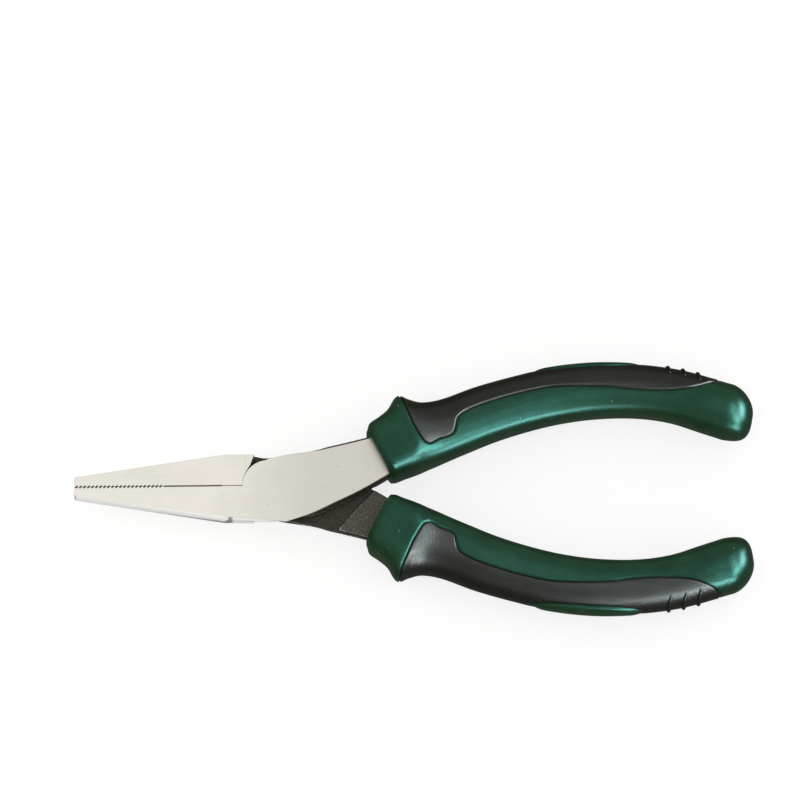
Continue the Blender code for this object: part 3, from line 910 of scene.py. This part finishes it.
def rivet_mesh(name, clearance, overshoot, turned):
    """A shank with a countersunk head at each end, turned about Z; a clearance makes it the hole's cutter."""
    shank = RIVET_RADIUS + clearance
    head = RIVET_HEAD_RADIUS + clearance
    face = HEAD_HALF_THICKNESS
    half = [(head, face + overshoot), (head, face - RIVET_LAND), (shank, face - RIVET_COUNTERSINK)]
    profile = [(radius, -z) for radius, z in half] + list(reversed(half))
    levels = [(circle_arc(radius, 0, 2 * math.pi, RIVET_SIDES + 1)[:-1], z) for radius, z in profile]
    return prism_mesh(name, levels, turned)


def smooth_but_faces(mesh):
    """Smooth shading on walls and rounded edges, with the ground faces and sharp corners kept flat."""
    mesh.shade_smooth()
    mesh.set_sharp_from_angle(angle=SMOOTH_ANGLE)
    normals = np.empty(len(mesh.polygons) * 3, np.float32)
    mesh.polygons.foreach_get("normal", normals)
    mesh.polygons.foreach_set("use_smooth", np.abs(normals.reshape(-1, 3)[:, 2]) < FACE_NORMAL_Z)


def carve(piece, cutters):
    """Cuts the cutters out of a piece, then keeps only the finished mesh."""
    for cutter in cutters:
        cut = piece.modifiers.new(cutter.name, "BOOLEAN")
        cut.object = cutter
        cut.operation = "DIFFERENCE"
        cut.solver = "EXACT"
    bpy.context.view_layer.update()
    graph = bpy.context.evaluated_depsgraph_get()
    finished = bpy.data.meshes.new_from_object(piece.evaluated_get(graph))
    rough = piece.data
    piece.modifiers.clear()
    piece.data = finished
    bpy.data.meshes.remove(rough)
    for cutter in cutters:
        bpy.data.meshes.remove(cutter.data)
    finished.name = piece.name
    smooth_but_faces(finished)


def section(t):
    """Middle, half across, half thickness and squareness of the handle at t stations from the guard.

    Past the last station the bulb closes as a dome: at a share s of its reach the outer half is scaled by
    (1 - s^a)^(1/a), and the inner half and the thickness in the same way by their own powers.
    """
    rows = catmull_rom(HANDLE_STATIONS, np.minimum(t, LAST_STATION))
    share = np.sin(np.clip(t - LAST_STATION, 0, 1) * math.pi / 2)
    outside, inside, through = (
        (1 - np.minimum(share**power, 1.0)) ** (1 / power)
        for power in (DOME_OUTSIDE, DOME_INSIDE, DOME_THROUGH)
    )
    last = np.array(HANDLE_STATIONS[-1])
    across = last[0:2] - last[2:4]
    forward = np.array([across[1], -across[0]]) / np.linalg.norm(across)
    reach = (HANDLE_END_X - (last[0] + last[2]) / 2) / forward[0]
    outer, inner = rows[..., 0:2], rows[..., 2:4]
    centre = (outer + inner) / 2 + forward * (reach * share)[..., None]
    half = (outer - inner) / 2
    outer = centre + half * outside[..., None]
    inner = centre - half * inside[..., None]
    return (outer + inner) / 2, (outer - inner) / 2, rows[..., 4] * through, rows[..., 5], rows[..., 6]


def handle_point(t, v, grow=0.0):
    """The handle's surface: at angle v a superellipse between the outer edge (v = 0) and the inner edge.

    With f the signed power of cos v and g that of sin v, the point is the middle plus f times the half
    across, at height g times the half thickness, held under the rest face by a soft minimum. Grow moves the
    surface out by so many millimetres, or in if negative, and by less where the handle is under 1 mm across.
    """
    t, v = np.broadcast_arrays(t, v)
    middle, half, thick, square_out, square_in = section(t)
    width = np.maximum(np.linalg.norm(half, axis=-1), TINY)
    power = np.where(np.cos(v) >= 0, 2 / square_out, 2 / square_in)
    f = signed_power(np.cos(v), power)
    g = signed_power(np.sin(v), power)
    grown = np.maximum(width + grow * np.minimum(width, 1.0), 0.0) / width
    plan = middle + half * (grown * f)[..., None]
    height = np.abs(g) * np.maximum(thick + grow * np.minimum(thick, 1.0), 0.0)
    limit = REST_HALF_THICKNESS + np.minimum(grow, 0.0)
    height = height_under(height, limit)
    return np.concatenate([plan, (np.sign(g) * height)[..., None]], axis=-1)


def height_under(height, limit):
    """Soft minimum of a height and a limit: minus b log(exp(-height/b) + exp(-limit/b))."""
    return np.maximum(-FLAT_BLEND * np.logaddexp(-height / FLAT_BLEND, -limit / FLAT_BLEND), 0.0)


def grip_boundary():
    """The rubber's edge on the front of the handle, as station and angle, from ridge to ridge.

    A point of the edge lies on the section whose line across the handle passes through it; its share of the
    half across is f, and its angle is the one whose signed power of the cosine is f.
    """
    edge = smooth_line(GRIP_EDGE, GRIP_EDGE_STEPS)
    t = np.linspace(0, LAST_STATION + EDGE_SEARCH_PAST_LAST, EDGE_SEARCH_SAMPLES)
    middle, half, _, square_out, square_in = section(t)
    width = np.linalg.norm(half, axis=1)
    unit = half / width[:, None]
    away = edge[:, None, :] - middle[None]
    aside = unit[None, :, 0] * away[..., 1] - unit[None, :, 1] * away[..., 0]
    share = np.sum(away * unit[None], axis=-1) / width
    outside = np.maximum(np.abs(share) - EDGE_SEARCH_SHARE, 0)
    cost = np.abs(aside) + EDGE_SEARCH_PENALTY * outside
    near = np.clip(np.argmin(cost, axis=1), 1, len(t) - 2)
    row = np.arange(len(edge))
    slope = (aside[row, near + 1] - aside[row, near - 1]) / (t[near + 1] - t[near - 1])
    at = t[near] - aside[row, near] / slope
    f = share[row, near]
    inside = np.flatnonzero(f < 1)
    first, last = inside[0], inside[-1]
    start = np.interp(1.0, [f[first], f[first - 1]], [at[first], at[first - 1]])
    end = np.interp(1.0, [f[last], f[last + 1]], [at[last], at[last + 1]])
    at = np.concatenate([[start], at[first : last + 1], [end]])
    f = np.concatenate([[1.0], f[first : last + 1], [1.0]])
    square = np.where(f >= 0, np.interp(at, t, square_out), np.interp(at, t, square_in))
    turn = np.arccos(np.clip(signed_power(f, square / 2), -1, 1))
    at = np.maximum.accumulate(at)
    return at, turn


def even_boundary(count):
    """The rubber's edge in equal steps along the surface."""
    t, v = grip_boundary()
    run = length_along(handle_point(t, v))
    even = np.linspace(0, run[-1], count)
    return np.interp(even, run, t), np.interp(even, run, v)


def edge_distance(points, edge):
    """Distance from each point to a curve of close points on the front, and to its mirror image behind.

    It is the distance to the nearest point of the curve, less the part of it that lies along the curve.
    """
    flat = points.reshape(-1, 3).copy()
    flat[:, 2] = np.abs(flat[:, 2])
    squares = np.sum(flat**2, axis=1)[:, None] + np.sum(edge**2, axis=1)[None] - 2 * flat @ edge.T
    near = np.argmin(squares, axis=1)
    along = unit_rows(np.gradient(edge, axis=0))
    away = flat - edge[near]
    slide = np.clip(np.sum(away * along[near], axis=1), -EDGE_SLIDE, EDGE_SLIDE)
    away -= along[near] * slide[:, None]
    return np.linalg.norm(away, axis=1).reshape(points.shape[:-1])


def pad_distance(points):
    """Rough distance outwards from the pad's rim, measured in its plan of length and height."""
    low, high = PAD_X
    across = np.abs(points[..., 0] - (low + high) / 2) / ((high - low) / 2)
    tall = np.abs(points[..., 2]) / PAD_HALF_HEIGHT
    size = (across**PAD_SQUARENESS + tall**PAD_SQUARENESS) ** (1 / PAD_SQUARENESS)
    outer_side = points[..., 1] > PAD_SIDE_Y
    return np.where(outer_side, (size - 1) * PAD_HALF_HEIGHT, FAR_FROM_PAD)


def tube(points):
    """The points and outward faces of a grid whose last column joins its first."""
    faces = grid_faces(points.shape[0], points.shape[1], True)
    flat = points.reshape(-1, 3)
    return flat, outward(flat, faces)


def guard_cap(ring):
    """Rings that close the core at the guard, from the first one inside the ring given to the middle.

    Each ring is the given one drawn in to its centre by a growing share, and moved out along the handle by a
    sine that rounds the rim and then stays level.
    """
    rim = np.linspace(0, 1, CAP_RIM_RINGS + 1)[1:]
    face = np.linspace(CAP_RIM_SHARE, 1, CAP_FACE_RINGS + 1)[1:]
    shrink = np.concatenate([rim**2 * CAP_RIM_SHARE, face])
    bulge = np.concatenate([np.sin(rim * math.pi / 2), np.ones(CAP_FACE_RINGS)]) * CAP_BULGE
    cap = ring[None] + (ring.mean(axis=0) - ring)[None] * shrink[:, None, None]
    return cap + np.array(CAP_DIRECTION) * bulge[:, None, None]


def core_mesh(name, sizes, turned):
    """The hard core: the handle's surface, sunk under the rubber, with a rounded cap at the guard.

    Rows are evenly spaced along the handle's middle and close up over the bulb. The sink is a smooth step of
    the distance from the rubber's edge, counted as positive under the rubber.
    """
    fine = np.linspace(0, LAST_STATION, STATION_SAMPLES)
    run = length_along(section(fine)[0])
    body = np.interp(np.linspace(0, run[-1], sizes.rows), run, fine)
    closing = LAST_STATION + 1 - (1 - np.linspace(0, 1, DOME_RINGS + 1)[1:]) ** 2
    t = np.concatenate([body, closing])[:, None]
    v = np.linspace(0, 2 * math.pi, sizes.around, endpoint=False)[None, :]
    edge_t, edge_v = even_boundary(GRIP_EDGE_POINTS)
    edge = handle_point(edge_t, edge_v)
    reach = np.interp(t, edge_t, edge_v, left=0.0, right=0.0)
    folded = np.minimum(v, 2 * math.pi - v)
    covered = np.where(folded < reach, 1.0, -1.0)
    signed = edge_distance(handle_point(t, v), edge) * covered
    sink = np.clip((signed + sizes.seam_width * SINK_START) / (sizes.seam_width * SINK_WIDTH), 0, 1)
    sink = sink * sink * (3 - 2 * sink) * sizes.seam_depth * SINK_DEPTH
    points = handle_point(t, v, -sink)
    points = np.concatenate([guard_cap(points[0])[::-1], points])
    return mesh_from(name, *tube(points), turned)


def shell(top, bottom):
    """A closed plate from two grids of points that share their rim: tops, bottoms and four walls."""
    rows, columns = top.shape[:2]
    points = np.concatenate([top.reshape(-1, 3), bottom.reshape(-1, 3)])
    upper = grid_faces(rows, columns, False)
    lower = upper[:, ::-1] + rows * columns
    index = np.arange(rows * columns).reshape(rows, columns)
    rim = np.concatenate([index[0, :-1], index[:-1, -1], index[-1, :0:-1], index[:0:-1, 0]])
    ahead = np.roll(rim, -1)
    walls = np.stack([ahead, rim, rim + rows * columns, ahead + rows * columns], axis=1)
    return points, np.concatenate([upper, lower, walls])


def grip_mesh(name, sizes, turned):
    """The rubber: the same surface between the two sides of its edge, proud by a little and rolled down.

    It is rolled down at its edge and at the rim of the pad's window, by the square of how near a point is.
    """
    t, v = even_boundary(GRIP_EDGE_POINTS)
    edge = handle_point(t, v)
    share = np.sin(np.linspace(-1, 1, GRIP_COLUMNS) * math.pi / 2)
    grid_t = np.broadcast_to(t[:, None], (len(t), len(share)))
    grid_v = v[:, None] * share[None, :]
    flat = handle_point(grid_t, grid_v)
    near = np.clip(edge_distance(flat, edge) / sizes.seam_width, 0, 1)
    roll = (1 - near) ** 2 * sizes.seam_depth
    window = np.clip(1 - np.abs(pad_distance(flat)) / WINDOW_RIM_WIDTH, 0, 1) ** 2 * WINDOW_RIM_DROP
    top = handle_point(grid_t, grid_v, sizes.grip_proud - roll - window)
    bottom = handle_point(grid_t, grid_v, -sizes.grip_depth)
    points, faces = shell(top, bottom)
    return mesh_from(name, points, outward(points, faces), turned)


def pad_surface(sizes):
    """The hard pad in the rubber: a long lens on the handle's outer side, with a rounded rim.

    Its rings are superellipses in length and height; the length gives the station, and the height over the
    half thickness there gives the angle. The top stands proud and the sides go down to the rubber's depth.
    """
    low, high = PAD_X
    share = np.sin(np.linspace(0, 1, PAD_RINGS) * math.pi / 2)[:, None]
    turn = np.linspace(0, 2 * math.pi, PAD_COLUMNS, endpoint=False)[None, :]
    x = (low + high) / 2 + (high - low) / 2 * share * signed_power(np.cos(turn), 2 / PAD_SQUARENESS)
    z = PAD_HALF_HEIGHT * share * signed_power(np.sin(turn), 2 / PAD_SQUARENESS)
    fine = np.linspace(0, LAST_STATION, STATION_SAMPLES)
    rows = catmull_rom(HANDLE_STATIONS, fine)
    t = np.interp(x, rows[:, 0], fine)
    thick = np.interp(t, fine, rows[:, 4])
    square = np.interp(t, fine, rows[:, 5])
    v = np.arcsin(np.clip(signed_power(z / thick, square / 2), -1, 1))
    rim = (1 - np.clip((1 - share) * PAD_HALF_HEIGHT / PAD_RIM_WIDTH, 0, 1)) ** 2 * PAD_RIM_DROP
    top = handle_point(t, v, sizes.pad_proud - rim)
    side = handle_point(t[-1:], v[-1:], -sizes.grip_depth)
    under = handle_point(t[:1], v[:1], -sizes.grip_depth)
    return tube(np.concatenate([top, side, under]))


def rib_surface(sizes, ridge):
    """A leaning rib: half-round bars along a line over the grip's ridge, closed to a point at each end.

    The line's x moves with its height by the lean, found in a few passes. Round the line goes a circle whose
    radius is the rib's times the square root of 1 - (share of the way to the end)^6.
    """
    x0, y0 = ridge
    fine = np.linspace(0, LAST_STATION, STATION_SAMPLES)
    rows = catmull_rom(HANDLE_STATIONS, fine)
    v = np.linspace(-RIB_END_TURN, RIB_END_TURN, RIB_POINTS)
    x = np.full_like(v, x0)
    for _ in range(RIB_LINE_PASSES):
        t = np.interp(x, rows[:, 0], fine)
        line = handle_point(t, v)
        x = x + (x0 + RIB_LEAN * (line[:, 1] - y0)) - line[:, 0]
    line = handle_point(t, v, sizes.grip_proud)
    normal = unit_rows(handle_point(t, v, sizes.grip_proud + NORMAL_STEP) - line)
    side = np.cross(unit_rows(np.gradient(line, axis=0)), normal)
    taper = np.sqrt(np.clip(1 - (v / RIB_END_TURN) ** RIB_BLUNTNESS, 0, 1))
    turn = np.linspace(0, 2 * math.pi, RIB_SIDES, endpoint=False)
    ring = side[:, None] * np.cos(turn)[None, :, None] + normal[:, None] * np.sin(turn)[None, :, None]
    return tube(line[:, None] + ring * (taper * sizes.rib_radius)[:, None, None])


def joined(mesh, parts, turned):
    """Adds more closed surfaces to a mesh, each one a pair of points and faces."""
    whole = bmesh.new()
    whole.from_mesh(mesh)
    for points, faces in parts:
        extra = mesh_from("part", points, faces, turned)
        whole.from_mesh(extra)
        bpy.data.meshes.remove(extra)
    whole.to_mesh(mesh)
    whole.free()
    mesh.shade_smooth()


class PLIERS_OT_levers(bpy.types.Operator):
    """Builds both forged levers with their teeth, lap joint and black oxide"""

    bl_idname = "pliers.levers"
    bl_label = "Levers"

    def execute(self, context):
        sizes = context.scene.pliers_head
        colours = context.scene.pliers_finish
        steel = lever_finish("lever steel", tuple(colours.steel), tuple(colours.oxide))
        for name, body, turned, shift in (
            ("front_lever", FRONT_BODY, False, -TOOTH_SHIFT),
            ("rear_lever", REAR_BODY, True, TOOTH_SHIFT),
        ):
            piece = add_object(f"{name}_finish", lever_mesh(name, shift, sizes, turned))
            cutters = [
                add_object("lap", lap_cutter("lap", sizes.step_chamfer, turned)),
                add_object("shank", shank_cutter("shank", turned)),
                add_object("hole", rivet_mesh("hole", RIVET_CLEARANCE, HOLE_OVERCUT, turned)),
            ]
            carve(piece, cutters)
            dress(piece, steel, body, "lever_steel", name)
        return {"FINISHED"}


class PLIERS_OT_rivet(bpy.types.Operator):
    """Builds the flush rivet that the levers turn on"""

    bl_idname = "pliers.rivet"
    bl_label = "Rivet"

    def execute(self, context):
        steel = rivet_finish("rivet steel", tuple(context.scene.pliers_finish.steel))
        piece = add_object("pivot_rivet_finish", rivet_mesh("rivet", clearance=0.0, overshoot=0.0, turned=True))
        smooth_but_faces(piece.data)
        dress(piece, steel, REAR_BODY, "rivet_steel", "pivot_rivet")
        return {"FINISHED"}


class PLIERS_OT_cores(bpy.types.Operator):
    """Builds the hard green core of each handle, with its pad"""

    bl_idname = "pliers.cores"
    bl_label = "Handle cores"

    def execute(self, context):
        sizes = context.scene.pliers_handle
        colours = context.scene.pliers_finish
        green = plastic_finish("green plastic", tuple(colours.green), tuple(colours.dust))
        for side, body, turned in HANDLES:
            mesh = core_mesh(f"{side}_core", sizes, turned)
            joined(mesh, [pad_surface(sizes)], turned)
            piece = add_object(f"{side}_core_finish", mesh)
            dress(piece, green, body, "green_plastic", f"{side}_handle_core")
        return {"FINISHED"}


class PLIERS_OT_grips(bpy.types.Operator):
    """Builds the soft black rubber of each handle, with its ribs"""

    bl_idname = "pliers.grips"
    bl_label = "Grips"

    def execute(self, context):
        sizes = context.scene.pliers_handle
        colours = context.scene.pliers_finish
        rubber = rubber_finish("black rubber", tuple(colours.rubber), tuple(colours.dust))
        for side, body, turned in HANDLES:
            mesh = grip_mesh(f"{side}_grip", sizes, turned)
            joined(mesh, [rib_surface(sizes, ridge) for ridge in RIB_RIDGES], turned)
            piece = add_object(f"{side}_grip_finish", mesh)
            dress(piece, rubber, body, "black_rubber", f"{side}_grip_overlay")
        return {"FINISHED"}


def add_floor(glow):
    """A square floor about the origin, left out of the reflections."""
    corners = [
        (-FLOOR_REACH, -FLOOR_REACH, 0.0),
        (FLOOR_REACH, -FLOOR_REACH, 0.0),
        (FLOOR_REACH, FLOOR_REACH, 0.0),
        (-FLOOR_REACH, FLOOR_REACH, 0.0),
    ]
    mesh = bpy.data.meshes.new("floor")
    mesh.from_pydata(corners, [], [(0, 1, 2, 3)])
    mesh.materials.append(floor_finish("pale floor", glow))
    floor = add_object("floor", mesh)
    floor.visible_glossy = False
    return floor


def add_softbox(name, place, size, power, lit):
    """A softbox that only puts a sheen on one collection's pieces; the even light is the surroundings'."""
    data = bpy.data.lights.new(name, "AREA")
    data.shape = "RECTANGLE"
    data.size, data.size_y = size
    data.energy = power
    data.color = SOFTBOX_COLOUR
    light = add_object(name, data)
    light.visible_diffuse = False
    light.light_linking.receiver_collection = lit
    light.location = place
    light.rotation_mode = "QUATERNION"
    light.rotation_quaternion = (Vector(SOFTBOX_TARGET) - Vector(place)).to_track_quat("-Z", "Y")


def lean_for(far):
    """Camera lean that sees the tool at its own lean off the vertical while aiming beside it.

    The sine of the lean is the height of the camera times the tangent of the lean seen, plus the distance
    aimed beside, over how far off the camera is; the height depends on the lean, so it takes a few passes.
    """
    lean = SEEN_LEAN
    for _ in range(LEAN_PASSES):
        lean = math.asin((far * math.cos(lean) * math.tan(SEEN_LEAN) + AIM_Y) / far)
    return lean


def add_camera(lens):
    """A camera far enough off to see the width wanted at the height of the handles' tops."""
    far = SEEN_WIDTH / SENSOR_WIDTH * lens
    lean = lean_for(far)
    data = bpy.data.cameras.new("camera")
    data.lens = lens
    data.sensor_width = SENSOR_WIDTH
    data.clip_start = CLIP_START
    data.clip_end = CLIP_END
    camera = add_object("camera", data)
    back = Vector((0.0, -math.sin(lean), math.cos(lean)))
    camera.location = Vector((AIM_X, AIM_Y, REST_HALF_THICKNESS * MM)) + back * far
    camera.rotation_mode = "QUATERNION"
    camera.rotation_quaternion = (-back).to_track_quat("-Z", "Y")
    return camera


class PLIERS_OT_stage(bpy.types.Operator):
    """Builds the pale floor, the soft lights and the camera"""

    bl_idname = "pliers.stage"
    bl_label = "Stage"

    def execute(self, context):
        settings = context.scene.pliers_stage
        scene = context.scene
        floor = add_floor(settings.floor_glow)
        scene.world = studio_world("white studio", settings.sky)
        handles = bpy.data.collections.new("handle parts")
        for piece in scene.objects:
            if piece.name.endswith(("core_finish", "grip_finish")):
                handles.objects.link(piece)
        for name, place, size in SOFTBOXES:
            add_softbox(f"{name} softbox", place, size, getattr(settings, f"{name}_power"), handles)
        scene.camera = add_camera(settings.lens)
        scene.view_settings.view_transform = "Standard"
        return {"FINISHED"}


OPERATORS = (PLIERS_OT_levers, PLIERS_OT_rivet, PLIERS_OT_cores, PLIERS_OT_grips, PLIERS_OT_stage)


class PLIERS_PT_panel(bpy.types.Panel):
    """Lists the builders and their settings"""

    bl_idname = "PLIERS_PT_panel"
    bl_label = "Needle nose pliers"
    bl_space_type = "VIEW_3D"
    bl_region_type = "UI"
    bl_category = "Pliers"

    def draw(self, context):
        for operator in OPERATORS:
            self.layout.operator(operator.bl_idname)
        for name in SETTINGS:
            group = getattr(context.scene, name)
            box = self.layout.box()
            for setting in group.bl_rna.properties:
                if not setting.is_readonly and setting.identifier != "name":
                    box.prop(group, setting.identifier)


SETTINGS = {
    "pliers_head": PliersHeadSettings,
    "pliers_handle": PliersHandleSettings,
    "pliers_finish": PliersFinishSettings,
    "pliers_stage": PliersStageSettings,
}
CLASSES = (*SETTINGS.values(), *OPERATORS, PLIERS_PT_panel)


def register():
    for made in CLASSES:
        bpy.utils.register_class(made)
    for name, group in SETTINGS.items():
        setattr(bpy.types.Scene, name, PointerProperty(type=group))


def unregister():
    for name in SETTINGS:
        delattr(bpy.types.Scene, name)
    for made in reversed(CLASSES):
        bpy.utils.unregister_class(made)


def main():
    register()
    bpy.ops.pliers.levers()
    bpy.ops.pliers.rivet()
    bpy.ops.pliers.cores()
    bpy.ops.pliers.grips()
    bpy.ops.pliers.stage()


if __name__ == "__main__":
    main()
